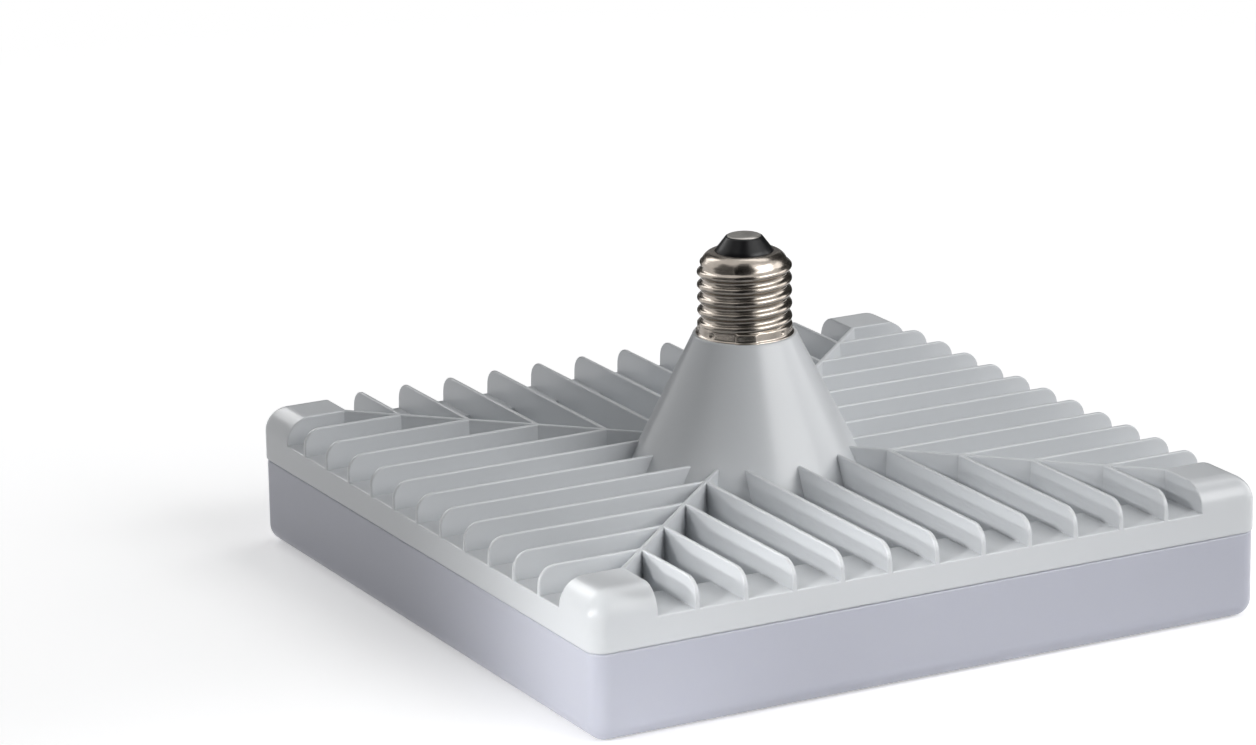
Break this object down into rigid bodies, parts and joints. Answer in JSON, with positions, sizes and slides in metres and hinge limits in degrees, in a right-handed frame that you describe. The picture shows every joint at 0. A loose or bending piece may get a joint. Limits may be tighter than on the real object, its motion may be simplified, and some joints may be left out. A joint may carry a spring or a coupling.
{
  "type": "led bulb",
  "caption": "Square flat LED lamp with an opal diffuser, a finned housing that rises into a conical neck, and an Edison screw cap, standing base up.",
  "frame": {"origin": "centre of the diffuser's outer face", "axes": "+Z from the diffuser towards the screw cap, X and Y square to the lamp's sides"},
  "size_m": [0.2042, 0.2042, 0.0989],
  "materials": {
    "diffuser": "opal polycarbonate, satin",
    "housing": "pale grey moulding, satin",
    "heat_spreader": "rolled sheet",
    "led_board": "white solder mask on an aluminium core",
    "led_chips": "white package with yellow phosphor",
    "board_screws": "zinc plated",
    "wire_terminal": "white moulding",
    "driver_board": "paper laminate",
    "inductor_core": "sintered ferrite",
    "inductor_bobbin": "moulded, with tinned pins",
    "inductor_winding": "enamelled copper wire",
    "input_capacitor": "shrunk sleeve over an aluminium can",
    "output_capacitor": "shrunk sleeve over an aluminium can",
    "film_capacitor": "potted box",
    "filter_choke": "shrunk sleeve over a drum core",
    "varistor": "dipped disc",
    "fuse_resistor": "coated wirewound body",
    "bridge_rectifier": "moulded, with tinned legs",
    "driver_chip": "moulded, with tinned legs",
    "output_diode": "moulded, with tinned legs",
    "chip_resistors": "glazed ceramic",
    "output_lead_red": "insulated wire",
    "output_lead_black": "insulated wire",
    "input_lead_centre": "insulated wire",
    "input_lead_shell": "insulated wire",
    "cap_shell": "nickel plated, warm grey",
    "cap_insulator": "black, glossy",
    "centre_contact": "nickel plated"
  },
  "bodies": {
    "root": {"diffuser": "diffuser", "housing": "housing", "heat_spreader": "heat_spreader", "led_board": "led_board", "led_chips": "led_chips", "board_screws": "board_screws", "wire_terminal": "wire_terminal", "driver_board": "driver_board", "inductor_core": "inductor_core", "inductor_bobbin": "inductor_bobbin", "inductor_winding": "inductor_winding", "input_capacitor": "input_capacitor", "output_capacitor": "output_capacitor", "film_capacitor": "film_capacitor", "filter_choke": "filter_choke", "varistor": "varistor", "fuse_resistor": "fuse_resistor", "bridge_rectifier": "bridge_rectifier", "driver_chip": "driver_chip", "output_diode": "output_diode", "chip_resistors": "chip_resistors", "output_lead_red": "output_lead_red", "output_lead_black": "output_lead_black", "input_lead_centre": "input_lead_centre", "input_lead_shell": "input_lead_shell", "cap_shell": "cap_shell", "cap_insulator": "cap_insulator", "centre_contact": "centre_contact"}
  },
  "joints": []
}
